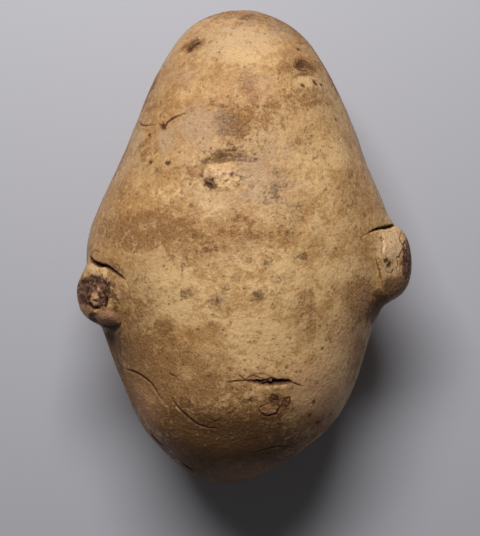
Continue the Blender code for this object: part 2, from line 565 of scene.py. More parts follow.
@dataclass
class Tuber:
    """The potato: its bare ground, with everything that grew on it.

    The relief is swells, ripples and grit, each with its grain and its height in millimetres and
    its seed. Below the height settle, in millimetres, the marks fade, so that the spot stays flat.
    """

    marks: list[Mark]
    bulges: list[Bulge]
    pores: Pores
    relief: tuple[Place, ...] = ((14, 0.35, 1), (4.5, 0.09, 2), (1.3, 0.018, 3))
    settle: float = 1.4
    refinings: int = 2

    def build(self, solid: bpy.types.Object) -> bpy.types.Object:
        """Make the finished potato over the solid.

        Args:
            solid: the solid's own object.

        Returns:
            The potato's object, at the origin, with its tints as attributes.
        """
        ground = Ground()
        ground.build(solid)
        ground.refine(self.marks, self.refinings)
        skin = ground.skin()
        log.info("ground: %d vertices", len(skin.points))
        self.grow(skin, ground)
        offsets = self.pores.work(skin, ground)
        self.shape(skin, ground)
        return self.finished(skin, ground, offsets)

    def grow(self, skin: Skin, ground: Ground) -> None:
        """Let the relief, the bulges and the marks move and tint the skin."""
        everywhere = np.arange(len(skin.points))
        for size, height, seed in self.relief:
            skin.lift(everywhere, height * MM * wobble(skin.points, size * MM, seed))
        for bulge in self.bulges:
            bulge.work(skin)
        for mark in self.marks:
            mark.work(skin, ground)

    def shape(self, skin: Skin, ground: Ground) -> None:
        """Move the ground's vertices as the skin says, and keep them off the floor."""
        clear = np.clip(skin.points[:, 2] / (self.settle * MM), 0, 1)
        placed = skin.points + skin.moves * clear[:, None]
        placed[:, 2] = np.maximum(placed[:, 2], 0)
        for vert, point in zip(ground.bm.verts, placed):
            vert.co = point
        bmesh.ops.recalc_face_normals(ground.bm, faces=ground.bm.faces[:])

    def finished(self, skin: Skin, ground: Ground, offsets: np.ndarray) -> bpy.types.Object:
        """Return the potato's object, with the tints and the pores' offsets as attributes."""
        mesh = bpy.data.meshes.new("potato_skin")
        ground.bm.to_mesh(mesh)
        ground.bm.free()
        mesh.shade_smooth()
        for tint, amounts in skin.tints.items():
            layer = mesh.attributes.new(tint.value, "FLOAT", "POINT")
            layer.data.foreach_set("value", amounts.astype(np.float32))
        layer = mesh.attributes.new(PORE, "FLOAT_VECTOR", "POINT")
        layer.data.foreach_set("vector", offsets.astype(np.float32).ravel())
        potato = bpy.data.objects.new("potato_skinned", mesh)
        bpy.context.scene.collection.objects.link(potato)
        return potato


# ---- What grew where ----


def dots(places: list[Point], size: float = 0.7, amount: float = 0.7, seen: Seen = Seen.ABOVE) -> list[Mark]:
    """Return small dark pits at these places, each turned its own way."""
    return [Spot(at, size * 0.8, -0.15, stretch=1.4, heading=40 * at[0], flat=1.5, ragged=0.5,
                 amount=amount * 0.75, seen=seen) for at in places]


def patches(groups: dict[Tint, list[tuple[float, ...]]], seen: Seen = Seen.ABOVE) -> list[Mark]:
    """Return the patches of each tint, in any order, because a tint only ever rises.

    Args:
        groups: for each tint, each patch's place, its two sizes and its amount, and then its
            heading in degrees and its fade where they aren't the usual ones.
        seen: the side that the places are read from.
    """
    return [
        Patch((x, y), (long, broad), tint, *rest, seen=seen)
        for tint, group in groups.items() for x, y, long, broad, *rest in group
    ]


def crown_marks() -> list[Mark]:
    """Return the marks of the narrow end."""
    return [
        # The eye at the crown's left.
        Spot((-12.6, 48.6), 5.0, -0.6, stretch=1.6, heading=25),
        Furrow([(-14.6, 48.6), (-13.4, 48.7), (-12.4, 49.4), (-10.9, 50.0)], 1.0, 0.5, left_lip=0.2,
               dirt_and_shade=0.75, rough=0.4),
        Spot((-13.9, 48.1), 0.9, -0.2, stretch=1.5, heading=-30, ragged=0.7, amount=0.5),
        Furrow([(-13.4, 49.9), (-12.2, 50.4), (-11.2, 50.7)], 0.6, 0.3, dirt_and_shade=0.7),
        # The eye at the crown's right, and the ridge below it.
        Spot((14.6, 43.0), 6.6, -0.5, stretch=1.2, heading=10),
        Spot((13.4, 43.6), 1.5, -0.3, stretch=1.8, heading=50, ragged=0.7, amount=0.5),
        Spot((12.5, 42.4), 1.1, -0.2, stretch=1.8, heading=-30, ragged=0.7, amount=0.45),
        Furrow([(13.6, 44.6), (15.2, 44.4), (16.6, 43.6), (17.4, 42.6)], 0.9, 0.3, left_lip=0.2, dirt_and_shade=0.4,
               rough=0.5),
        Furrow([(12.8, 42.0), (14.2, 41.8), (15.4, 42.6)], 0.8, 0.3, dirt_and_shade=0.4, rough=0.5),
        Furrow([(10.8, 38.2), (11.6, 39.8), (13.6, 40.6), (16.2, 40.9), (18.2, 40.6)], 1.3, 0.25,
               left_lip=0.25, dirt_and_shade=0.25),
        Spot((14.8, 38.8), 6.0, 0.35, stretch=1.3),
        *dots([(13.5, 37.8)], 1.0),
        *dots([(16.5, 38.9)], 1.3, 0.85),
        *dots([(18.3, 38.7), (13.1, 47.7)], 0.9),
        *dots([(-3.4, 51.1), (4.8, 51.1), (9.1, 52.8), (5.2, 56.2), (-6.2, 46.2)], 0.6, 0.5),
        *patches({
            Tint.RUSSET: [(-12.6, 49.2, 6.0, 3.0, 0.9, 25), (14.6, 43.2, 8.0, 5.0, 0.9)],
            Tint.UMBER: [(-12.8, 49.1, 4.6, 2.0, 0.6, 25), (13.2, 43.6, 3.4, 2.4, 0.55, 60),
                (15.8, 43.4, 3.4, 1.6, 0.7, -20)],
            Tint.PALE: [(14.8, 38.4, 8.0, 4.0, 0.7)],
        }),
    ]


def middle_marks() -> list[Mark]:
    """Return the marks of the upper half's middle."""
    return [
        # The crack at the left, and the folds below it.
        Furrow([(-26.4, 30.8), (-25.1, 29.4), (-22.9, 28.9), (-20.6, 29.4)], 0.6, 0.35, right_lip=0.12,
               dirt_and_shade=0.5, rough=0.35),
        Furrow([(-20.8, 29.2), (-19.4, 28.4), (-18.1, 29.7), (-16.0, 30.6), (-13.6, 31.4)], 0.8, 0.4,
               left_lip=0.12, widest=0.4, dirt_and_shade=0.6, rough=0.35),
        Furrow([(-14.4, 31.8), (-10.4, 32.6), (-6.0, 32.6), (-1.0, 31.4)], 0.9, 0.15, dirt_and_shade=0.22,
               rough=0.5),
        *dots([(-19.5, 28.3)], 1.4, 0.8),
        *dots([(-23.0, 26.5), (-22.5, 19.7)], 0.9),
        *dots([(-18.3, 19.3)], 1.3, 0.75),
        Furrow([(-22.0, 16.8), (-17.0, 17.6), (-12.0, 18.0), (-9.4, 18.2)], 1.2, 0.18, dirt_and_shade=0.15),
        # The brow over the middle eye, with painted shade along it.
        Furrow([(-10.4, 18.8), (-7.7, 19.7), (-5.9, 20.2), (-3.6, 20.4), (-1.2, 20.0), (1.2, 19.6),
               (3.8, 19.6)], 2.4, 0.55, left_lip=0.2, right_lip=0.1, widest=0.35, dirt_and_shade=0.12),
        Furrow([(-5.6, 21.5), (-3.0, 21.8), (0.0, 21.3)], 0.7, 0.12, dirt_and_shade=0.18, rough=0.4),
        # The middle eye and its bud.
        Spot((-5.6, 15.8), 10.5, -0.5, stretch=1.2, fine=False),
        Spot((-3.6, 16.6), 5.6, 0.8, stretch=1.3, heading=15, pitted=0.35),
        Spot((0.6, 15.0), 8.0, 0.0, stretch=1.3, heading=-20, pitted=0.25),
        Spot((-5.4, 16.0), 4.4, 0.1, stretch=1.9, heading=-8, pitted=0.45),
        Spot((-8.3, 14.0), 2.6, -0.25, stretch=1.2, heading=-30, ragged=0.6, pitted=0.3),
        Spot((-8.5, 14.1), 1.0, -0.3, stretch=1.9, heading=-35, ragged=1.0, amount=0.65),
        Spot((-7.7, 15.0), 0.8, -0.2, stretch=1.4, heading=20, ragged=0.8, amount=0.45),
        Spot((-7.5, 13.3), 0.7, -0.15, stretch=1.8, heading=-20, ragged=0.8, amount=0.5),
        *dots([(-10.2, 16.1)], 0.9, 0.6),
        *dots([(-3.0, 16.2)], 0.9, 0.65),
        *dots([(-1.8, 16.7), (-9.4, 13.7), (-6.2, 17.3), (-4.6, 14.6), (1.6, 13.0), (4.7, 10.8)], 0.6,
              0.4),
        Furrow([(-7.4, 12.3), (-5.8, 12.6), (-4.2, 12.2)], 0.6, 0.2, dirt_and_shade=0.25, rough=0.7),
        Furrow([(-2.8, 13.6), (-1.2, 14.6), (-0.6, 16.2)], 0.6, 0.15, dirt_and_shade=0.15, rough=0.7),
        *dots([(-15.6, 21.8), (-21.0, 22.4), (-8.0, 22.4), (-0.8, 22.6), (2.4, 21.0), (-12.8, 14.0)], 0.6,
              0.5),
        *dots([(22.0, 30.4), (16.2, 20.4), (-20.4, 8.4), (-11.2, -1.6), (26.6, 4.4), (21.4, -0.9)], 0.6,
              0.5),
        *patches({
            # Painted shade: the umber bands at (-5.6, 19.9) and (0.6, 19.6), along the brow over the middle
            # eye.
            Tint.UMBER: [(-5.6, 19.9, 9.0, 1.7, 0.9, 6), (0.6, 19.6, 7.0, 1.2, 0.6, -4),
                (8.0, 7.0, 12.0, 10.0, 0.3, 0, 0.8), (-8.2, 14.3, 3.6, 2.6, 0.7, -30)],
            # Partly paler skin and partly painted sheen: the pale and bare mound of the middle eye, and the
            # bare patch at (3.4, 14.8) to its right.
            Tint.PALE: [(-5.4, 16.2, 10.0, 4.4, 1.2, -8)],
            Tint.BARE: [(-5.0, 16.4, 8.0, 3.4, 0.6, -8, 0.6), (3.4, 14.8, 6.0, 7.0, 0.28, 0, 0.6)],
        }),
    ]


def chin_marks() -> list[Mark]:
    """Return the marks of the blunt end."""
    return [
        # The open split, and the fine cracks that run from it.
        Furrow([(-0.6, -31.3), (1.4, -31.4), (3.2, -31.6), (5.2, -31.6), (7.6, -31.6), (9.3, -31.6),
               (10.9, -31.8)], 1.9, 1.6, left_lip=0.15, right_lip=0.35, overhang=0.35, widest=0.62),
        Furrow([(0.0, -31.2), (1.0, -30.3), (2.0, -30.1), (3.2, -30.4), (4.6, -30.8)], 0.5, 0.25,
               dirt_and_shade=0.6),
        Furrow([(4.4, -30.9), (5.5, -30.5), (7.0, -30.7), (8.2, -31.0)], 0.5, 0.25, dirt_and_shade=0.7),
        # A raised sliver in the split, tinted rose: partly its own flesh, partly a painted highlight where
        # the lower lip catches the light.
        Spot((4.9, -31.45), 0.5, 1.25, stretch=5.5, heading=14, tint=Tint.ROSE, amount=1.0),
        Furrow([(-2.2, -29.6), (-1.0, -30.4), (0.3, -31.3)], 0.4, 0.2, dirt_and_shade=0.7),
        Furrow([(-4.6, -31.9), (-1.9, -31.5), (0.6, -31.3)], 0.5, 0.25, dirt_and_shade=0.75),
        Furrow([(10.0, -31.6), (11.7, -32.3), (13.4, -33.0)], 0.5, 0.25, dirt_and_shade=0.75),
        Furrow([(0.6, -29.9), (3.6, -29.7), (6.6, -30.3)], 0.5, 0.15, dirt_and_shade=0.4),
        # The scab below the split.
        Spot((6.0, -35.4), 13.0, 0.5, stretch=1.4, fine=False),
        Spot((6.6, -37.1), 6.6, 0.12, stretch=1.15, heading=-15, ragged=0.45, pitted=0.14),
        Furrow([(3.0, -37.7), (3.3, -38.5), (4.1, -39.4), (5.2, -39.8), (6.4, -39.5), (7.3, -38.8),
               (7.7, -37.7), (7.3, -36.9), (6.7, -36.6)], 0.8, 0.3, right_lip=0.1, dirt_and_shade=0.85, rough=0.45),
        Furrow([(3.1, -38.2), (3.9, -37.3), (4.6, -36.9), (5.6, -36.6)], 0.5, 0.2, dirt_and_shade=0.6, rough=0.6),
        Furrow([(5.5, -36.4), (5.6, -35.6), (5.9, -34.9), (6.6, -34.6), (7.3, -35.1), (7.4, -35.9),
               (6.5, -35.8), (5.8, -36.2), (6.7, -36.6), (7.6, -36.4)], 0.5, 0.22, dirt_and_shade=0.9, rough=0.5),
        Furrow([(8.1, -38.1), (8.4, -36.9), (8.9, -35.8), (9.8, -35.3), (10.3, -35.9), (10.0, -36.9),
               (9.2, -37.6), (8.4, -38.4)], 0.5, 0.22, dirt_and_shade=0.85, rough=0.4),
        Furrow([(8.9, -36.6), (9.4, -36.3), (9.3, -37.0)], 0.4, 0.15, dirt_and_shade=0.6, rough=0.5),
        Furrow([(0.2, -36.7), (0.8, -36.1), (1.9, -36.4)], 0.5, 0.15, dirt_and_shade=0.5, rough=0.6),
        *dots([(1.1, -35.8), (16.3, -37.1), (17.6, -42.7), (15.4, -40.6)], 1.0, 0.6),
        *dots([(9.5, -28.4), (-17.4, -44.2), (3.0, -28.6), (11.8, -29.6), (-3.0, -33.4)], 0.7, 0.5),
        # The two arcs at the lower left.
        Spot((-25.0, -36.0), 10.0, 0.55, stretch=1.3, heading=-50, fine=False),
        Furrow([(-29.4, -29.8), (-26.3, -30.2), (-24.3, -31.1), (-22.3, -32.5), (-20.8, -34.4),
               (-19.4, -36.8)], 0.7, 0.45, right_lip=0.12, dirt_and_shade=0.9, rough=0.08),
        Furrow([(-17.8, -35.2), (-15.6, -38.2), (-12.9, -40.9), (-10.6, -42.5), (-6.4, -43.4)], 0.7, 0.45,
               right_lip=0.1, dirt_and_shade=0.9, rough=0.08),
        Spot((-14.0, -46.0), 12.0, 0.4, stretch=1.4, heading=-30, fine=False),
        Furrow([(-18.0, -30.0), (-16.6, -30.5), (-15.8, -31.2)], 0.7, 0.15, dirt_and_shade=0.6),
        Spot((-7.5, -40.6), 4.0, 0.15, stretch=1.6, heading=8, ragged=0.4, pitted=0.25),
        Furrow([(-23.2, -45.2), (-21.6, -47.2), (-19.8, -49.0)], 1.4, 0.9, right_lip=0.2, dirt_and_shade=1.0),
        Furrow([(-15.4, -53.6), (-12.6, -55.2)], 1.1, 0.6, dirt_and_shade=0.9),
        *[Spot(at, 0.3, 0.12, stretch=2.2, heading=50 * at[0], ragged=0.5, tint=Tint.BARE, amount=0.5)
          for at in ((-8.7, -44.3), (-3.4, -44.7), (-3.0, -45.9), (-9.4, -47.6), (-6.6, -46.0),
              (-11.3, -44.9))],
        # The groove over the chin.
        Furrow([(1.6, -50.2), (4.6, -48.9), (8.0, -48.2), (11.6, -48.2)], 0.6, 0.2, right_lip=0.06,
               dirt_and_shade=0.5, rough=0.08),
        Spot((-1.0, -45.0), 12.0, -0.7, stretch=1.8, fine=False),
        *patches({
            Tint.RUSSET: [(6.8, -37.0, 8.0, 5.6, 1.0, 0, 0.35), (-25.3, -35.9, 2.4, 1.6, 1.0)],
            Tint.ROSE: [(5.4, -38.3, 4.0, 2.4, 0.6, 0, 0.4)],
            Tint.UMBER: [(5.6, -39.6, 5.0, 1.6, 1.2, 8), (6.6, -35.8, 2.8, 2.2, 1.2),
                (9.4, -36.8, 2.6, 3.2, 0.9, 60), (1.0, -36.0, 3.4, 1.6, 0.7),
                (-8.0, -41.0, 9.0, 3.4, 0.9, -6)],
        }),
    ]


def knob_marks() -> list[Mark]:
    """Return the marks of the two knobs."""
    return [
        # The left knob: the split over it, and its corky face.
        Furrow([(-38.1, -2.4), (-35.8, -4.1), (-33.1, -4.8), (-30.7, -6.4), (-28.3, -8.3)], 1.8, 1.9,
               left_lip=0.3, right_lip=0.2, overhang=0.5, widest=0.36),
        Furrow([(-28.6, -8.0), (-27.6, -9.9), (-27.4, -12.0)], 0.9, 0.2, dirt_and_shade=0.2),
        Furrow([(-37.2, -2.0), (-36.2, -1.2), (-35.0, -1.8), (-35.2, -3.0)], 0.5, 0.2, left_lip=0.1,
               dirt_and_shade=0.4),
        Spot((-36.4, -11.2), 10.0, -0.45, flat=5, ragged=0.3, pitted=0.6),
        Spot((-36.5, -12.9), 2.0, 0.45, stretch=1.8, heading=80, ragged=0.3),
        Furrow([(-33.9, -11.6), (-33.3, -13.4), (-33.6, -15.2)], 1.0, 0.6, dirt_and_shade=1.0),
        Furrow([(-38.6, -13.8), (-36.9, -14.9), (-34.6, -15.2)], 0.9, 0.5, dirt_and_shade=0.9, right_lip=0.3),
        Spot((-33.6, -17.3), 3.0, 0.5, stretch=1.7, heading=8),
        # The valley under the left knob, darkened as painted shade.
        Furrow([(-37.6, -17.8), (-36.2, -19.2), (-34.2, -20.0), (-31.6, -20.0), (-29.4, -18.6)], 2.4, 1.0,
               dirt_and_shade=0.6, rough=0.2),
        # The right knob: the split over it, and its wrinkled bare face, painted lighter to stand for the
        # light on it.
        Furrow([(36.5, 4.4), (34.6, 4.6), (32.9, 4.4), (30.9, 3.7), (29.5, 2.8)], 1.7, 1.6, left_lip=0.2,
               right_lip=0.25, overhang=-0.5, widest=0.25, dirt_and_shade=0.8),
        Furrow([(29.8, 3.0), (28.2, 2.1), (27.4, 1.0)], 0.9, 0.2, dirt_and_shade=0.2),
        Spot((35.0, 0.0), 5.0, 0.4, stretch=1.3, heading=90),
        Furrow([(32.7, 2.6), (33.1, 1.2), (33.2, -0.5), (33.0, -1.9), (33.3, -3.0)], 0.6, 0.3, left_lip=0.2,
               dirt_and_shade=0.3, rough=0.3),
        Furrow([(31.4, -2.6), (31.9, -4.3), (32.4, -5.7), (32.8, -7.4), (33.2, -8.8), (33.5, -10.2)], 0.8,
               0.45, left_lip=0.25, dirt_and_shade=0.4, rough=0.3),
        Furrow([(37.4, 2.0), (37.5, 0.9), (38.2, 0.1), (38.8, -0.4)], 0.6, 0.25, left_lip=0.1, dirt_and_shade=0.45,
               rough=0.7),
        Furrow([(38.7, -0.2), (38.0, -1.6), (37.2, -2.6), (36.2, -3.1)], 0.6, 0.25, right_lip=0.1, dirt_and_shade=0.5,
               rough=0.7),
        Furrow([(36.7, -3.2), (37.2, -4.5), (36.9, -5.7), (37.5, -7.0)], 0.5, 0.2, dirt_and_shade=0.4, rough=0.7),
        Furrow([(38.6, -2.0), (39.0, -4.0), (38.7, -6.0)], 0.5, 0.2, dirt_and_shade=0.5, rough=0.7),
        Spot((34.9, -4.6), 1.0, -0.3, stretch=1.4, heading=70, ragged=0.6, amount=0.65),
        Spot((34.0, -3.6), 0.9, -0.2, stretch=1.5, heading=30, ragged=0.6, amount=0.6),
        Furrow([(33.9, -5.2), (34.6, -6.5), (35.9, -6.2), (36.3, -5.0)], 0.5, 0.15, dirt_and_shade=0.45, rough=0.6),
        Spot((37.4, -9.8), 6.0, 0.0, stretch=1.2, pitted=0.25),
        *[Furrow([(26.0 + start, height), (29.2, height - 0.3), (32.6 - end, height - 1.6)], 0.5, 0.1,
                 dirt_and_shade=0.15, rough=0.9)
          for start, end, height in ((0.0, 0.8, -9.4), (1.6, 0.0, -11.1), (0.6, 1.6, -13.2))],
        *patches({
            # The second cork patch, at (-37.0, -17.6), is painted shade under the left knob's face.
            Tint.CORK: [(-36.5, -11.0, 9.2, 8.6, 1.0, 0, 0.3), (-37.0, -17.6, 2.4, 4.0, 0.8, 0, 0.4),
                (39.5, -4.2, 3.2, 11.0, 0.85)],
            Tint.FLESH: [(-36.5, -12.9, 1.9, 3.8, 1.0, 8, 0.35), (-35.6, -10.6, 1.2, 2.6, 0.8, -20),
                (-36.2, -11.2, 6.0, 6.6, 0.42)],
            Tint.ROSE: [(-33.6, -17.1, 5.6, 2.8, 1.3, 8, 0.3), (36.4, 1.9, 2.4, 1.8, 0.8, 0, 0.4)],
            # Painted shade under the knobs: the russet at (-33.4, -20.8), (-33.2, -24.4) and (32.6, -15.6).
            Tint.RUSSET: [(-33.4, -20.8, 8.4, 4.6, 1.4, 0, 0.4), (-33.2, -24.4, 7.0, 7.4, 1.3),
                (32.6, -15.6, 8.0, 7.0, 1.2)],
            # Painted shade under the knobs: the umber at (-34.0, -20.8), (-33.8, -23.8), (-31.0, -22.6),
            # (33.0, -12.4) and (33.4, -15.8).
            Tint.UMBER: [(-34.0, -20.8, 6.4, 3.6, 0.9), (-33.8, -23.8, 5.0, 6.0, 1.0),
                (-31.0, -22.6, 5.0, 5.0, 0.6), (-31.2, -13.2, 2.2, 6.4, 0.7), (34.8, -4.6, 2.6, 2.6, 0.5),
                (40.2, -3.0, 2.6, 8.0, 1.0, 0, 0.35), (37.4, -10.0, 8.0, 4.8, 1.3, -15, 0.35),
                (33.0, -12.4, 6.0, 3.0, 0.7, -25), (33.4, -15.8, 7.0, 7.0, 1.1)],
            # Partly painted light: the pale roll over the left knob, where it catches the light, and the
            # right knob's face, over its own paler skin.
            Tint.PALE: [(-34.6, -6.3, 7.6, 2.8, 1.2, -18, 0.3), (35.0, 0.2, 9.0, 12.0, 0.8, 0, 0.4)],
            # The right knob's bare face: partly its own bare skin, partly painted light.
            Tint.BARE: [(35.4, -0.2, 4.8, 6.0, 1.0, 0, 0.25), (35.6, -6.0, 5.4, 4.6, 0.4, -20, 0.4)],
        }),
        *patches({
            Tint.CORK: [(-11.4, 41.0, 8.0, 7.0, 0.65)],
            Tint.UMBER: [(-24.0, 38.0, 8.0, 8.0, 0.8)],
        }, Seen.LEFT),
        *patches({
            Tint.CORK: [(-4.0, 38.6, 12.0, 4.4, 0.8, -8, 0.7), (-1.2, 34.2, 3.0, 3.0, 0.45, 0, 0.6)],
            Tint.UMBER: [(-3.4, 36.6, 9.0, 6.0, 1.0, 0, 0.4), (-11.0, 38.0, 6.0, 9.0, 1.0)],
        }, Seen.RIGHT),
    ]


def hidden_marks() -> list[Mark]:
    """Return the eyes, cracks and pits of the sides, the ends and the underside."""
    eyes = [
        Eye(Seen.BELOW, (17, 26), 6.0, 150), Eye(Seen.LEFT, (15, 13), 6.0, 10),
        Eye(Seen.RIGHT, (30, 24), 5.0, 190), Eye(Seen.LEFT, (39, 24), 4.6, -20),
        Eye(Seen.RIGHT, (-30, 20), 6.0, 160), Eye(Seen.CHIN, (6, 21), 6.0, 180),
        Eye(Seen.CROWN, (-4, 27), 5.0, 10), Eye(Seen.CROWN, (7, 20), 4.6, 200),
        Eye(Seen.BELOW, (-9, -30), 6.4, -30), Eye(Seen.BELOW, (-12, 38), 5.0, 80),
    ]
    cracks = [
        Furrow([(-19, -18), (-13, -22), (-6, -23), (0, -21)], 0.8, 0.5, left_lip=0.2, dirt_and_shade=0.7,
               seen=Seen.BELOW),
        Furrow([(-20, 23), (-27, 20), (-34, 19), (-40, 21)], 0.9, 0.5, left_lip=0.2, dirt_and_shade=0.6,
               seen=Seen.LEFT),
        Furrow([(8, 15), (15, 12), (23, 12)], 0.8, 0.4, right_lip=0.2, dirt_and_shade=0.6, seen=Seen.RIGHT),
        Furrow([(-40, 30), (-44, 27), (-47, 22)], 0.7, 0.4, dirt_and_shade=0.6, seen=Seen.RIGHT),
        Furrow([(-10, 30), (-4, 28), (2, 29)], 0.8, 0.4, left_lip=0.2, dirt_and_shade=0.6, seen=Seen.CHIN),
        Furrow([(6, -36), (11, -32), (17, -30)], 0.6, 0.3, dirt_and_shade=0.6, seen=Seen.BELOW),
        Furrow([(-9, 22), (-4, 19), (1, 18)], 0.6, 0.3, dirt_and_shade=0.5, seen=Seen.CROWN),
    ]
    scar_at = (-6, 15)
    stolon_scar = [
        Spot(scar_at, 5.0, -0.9, flat=3.0, ragged=0.2, seen=Seen.CHIN),
        Spot(scar_at, 1.8, 0.6, ragged=0.5, pitted=0.3, seen=Seen.CHIN),
    ]
    chin_tints = patches({
        Tint.RUSSET: [(-2, 27, 50, 40, 0.85, 0, 0.7), (*scar_at, 9.0, 8.0, 1.0)],
        Tint.UMBER: [(-4, 31, 38, 24, 0.75, 0, 0.8), (10, 18, 16, 12, 0.5, 30)],
        Tint.CORK: [(*scar_at, 3.8, 3.4, 0.8)],
    }, Seen.CHIN)
    pits, blots = scattered_marks()
    return [mark for eye in eyes for mark in eye.marks()] + cracks + stolon_scar + chin_tints + pits + blots


def scattered_marks(each: int = 24, pits_each: int = 8, seed: int = 5) -> tuple[list[Mark], list[Mark]]:
    """Scatter pits and patches over the sides that aren't seen from above.

    Args:
        each: how many patches each side gets.
        pits_each: how many pits each side gets.
        seed: settles where they all fall.

    Returns:
        The pits and the patches.
    """
    spreads = [(Seen.LEFT, (-46, 46), (7, 34)), (Seen.RIGHT, (-46, 46), (7, 34)),
               (Seen.BELOW, (-22, 22), (-42, 42)), (Seen.CHIN, (-18, 18), (10, 36)),
               (Seen.CROWN, (-13, 13), (14, 40))]
    kinds = [(Tint.RUSSET, 0.9, 16), (Tint.RUSSET, 0.7, 12), (Tint.PALE, 0.8, 14), (Tint.LILAC, 0.7, 9),
             (Tint.UMBER, 0.6, 6), (Tint.UMBER, 0.5, 3)]
    chance = random.Random(seed)
    pits = []
    blots = []
    for seen, first, second in spreads:
        for number in range(each):
            at = (chance.uniform(*first), chance.uniform(*second))
            tint, amount, size = kinds[number % len(kinds)]
            span = (size * chance.uniform(0.6, 1.4), size * chance.uniform(0.4, 0.9))
            amount *= chance.uniform(0.6, 1.0)
            blots.append(Patch(at, span, tint, amount, chance.uniform(0, 180), seen=seen))
        for _ in range(pits_each):
            at = (chance.uniform(*first) * 0.8, chance.uniform(*second) * 0.85)
            pits += dots([at], chance.uniform(0.6, 1.1), 0.6, seen)
    return pits, blots


def blotches() -> list[Mark]:
    """Return the broad patches of browner, paler, greyer and redder skin on the upper side, some of them
    painted shade.
    """
    return patches({
        # The russet patches at y = -40 and below are partly browner skin and partly painted shade, darkening
        # the chin.
        Tint.RUSSET: [(-23, 4, 22, 9, 0.8), (-14, 1, 14, 9, 0.55), (-2, 3, 14, 10, 0.42),
            (4, 31, 12, 9, 0.48), (1, 38, 5, 8, 0.45), (14, 35, 12, 6, 0.6), (11, 42, 6, 10, 0.5),
            (25, 12, 9, 14, 0.35), (24, 2, 9, 6, 0.2), (-25, -25, 13, 12, 0.9), (-13, -34, 22, 12, 0.7),
            (-19, -19, 5, 4, 1.0), (14, -16, 5, 14, 0.45), (27, -14, 8, 14, 0.6), (-29, 12, 6, 14, 0.25),
            (-24, 34, 8, 5, 0.3), (0, -44, 24, 7, 0.9), (-12, 17, 18, 4, 0.45), (-24, 22, 5, 10, 0.35),
            (0, -53, 22, 8, 0.6), (-20, -42, 16, 10, 0.5), (2, -22, 4, 6, 0.3), (14, 24, 10, 5, 0.3),
            (-8, -20, 6, 5, 0.4), (-22, -34, 24, 26, 0.7), (-4, -50, 36, 16, 1.0), (-33, -24, 8, 18, 1.0),
            (20, -47, 16, 10, 0.4), (-6, -42, 30, 10, 1.0), (-3, 28, 9, 10, 0.8), (-26, -18, 12, 22, 0.55),
            (12, -44, 30, 12, 0.6), (-31, -6, 6, 10, 0.35), (-2, -30, 44, 18, 0.22), (28, -30, 8, 20, 0.45),
            (-14, -28, 22, 12, 0.5), (2, -40, 30, 8, 0.6), (-29, -36, 10, 20, 0.8), (16, -50, 20, 12, 0.8),
            (-8, -36, 40, 14, 0.5), (6, -44, 30, 10, 0.6)],
        # Painted shade: the thin band at (-4, 21.5), along the middle eye's brow. The umber patches at y =
        # -40 and below are partly browner skin and partly painted shade over the chin.
        Tint.UMBER: [(-3, 28, 9, 8, 0.28), (0, 23, 12, 5, 0.3), (-4, 21.5, 12, 2, 0.6),
            (-4, -44, 16, 5, 0.6), (-8, -1, 5, 4, 0.4), (-13, -11, 4, 3, 0.6), (3, -12, 3.4, 3, 0.55),
            (5, -4, 3, 3, 0.45), (12, -3, 4, 3, 0.4), (7, 12, 4, 5, 0.4), (-7, -13.5, 4, 3.4, 0.4),
            (9, 3, 4, 3, 0.35), (-12, -7, 2, 2, 0.4), (-2, -8, 3, 2, 0.35), (7, -8, 3, 2, 0.4),
            (16, 1, 3, 3, 0.3), (26, -20, 5, 6, 0.3), (-32, -26, 5, 12, 0.7), (12, 8, 3, 3, 0.35),
            (8, 17, 4, 3, 0.35), (-6, -50, 34, 20, 1.1), (4, -56, 40, 12, 1.3), (-6, -48, 24, 10, 0.8),
            (-14, -40, 16, 8, 0.5), (-13, -11, 2.6, 2.4, 0.8), (-7, -13, 2.6, 2.2, 0.8),
            (13.6, -2.6, 2.4, 2, 0.6), (10, 1, 2.2, 2, 0.5), (3, -12.4, 2.4, 2, 0.7)],
        Tint.PALE: [(3, -22, 16, 16, 0.9), (22, -6, 16, 6, 0.9), (-16, -8, 14, 6, 0.7),
            (21, -28, 12, 14, 0.9), (20, 22, 12, 10, 0.7), (7, 7, 10, 7, 0.6), (0, 48, 18, 12, 0.7),
            (10, -4, 12, 8, 0.6), (-18, 12, 10, 5, 0.4), (16, 5, 10, 7, 0.55), (0, -10, 14, 6, 0.5),
            (16, -36, 12, 10, 0.6), (-11, 36, 12, 5, 0.3), (4, 10, 8, 4, 0.4), (24, -38, 8, 12, 0.6),
            (9, -14, 6, 6, 0.5), (22, 6, 14, 18, 0.5), (16, 16, 14, 12, 0.5), (-6, -24, 16, 10, 0.5),
            (2, -4, 14, 8, 0.45), (-9, 8, 10, 5, 0.4), (24, -18, 10, 14, 0.7), (-14, -14, 20, 12, 0.7),
            (12, -10, 24, 12, 0.6), (-24, -9, 12, 8, 0.6), (14, -28, 12, 10, 0.6), (-32, 4, 5, 10, 0.4),
            (-24, -39, 8, 13, 0.3)],
        Tint.LILAC: [(2, 17, 8, 9, 1.0), (-10, 28, 14, 9, 0.8), (-19, 25, 4, 6, 1.0), (3, 12, 10, 5, 0.7),
            (-4, 46, 14, 10, 0.3), (0, 51, 22, 12, 0.5), (7, 21, 8, 6, 0.4), (-11, 8, 2, 2, 0.8),
            (-14, 41, 10, 8, 0.3), (8, 14, 8, 8, 0.5), (2, 40, 10, 6, 0.4), (-6, -13, 5, 3, 0.5),
            (12, 12, 8, 8, 0.3)],
        Tint.ROSE: [(3, 36, 8, 8, 0.35), (-24, -39, 9, 15, 0.45), (17, -34, 18, 18, 0.45),
            (24, -24, 10, 20, 0.4), (28, -12, 6, 8, 0.5), (0, -55, 20, 8, 0.5), (-20, -50, 14, 8, 0.4),
            (27, -36, 6, 14, 0.4)],
    })


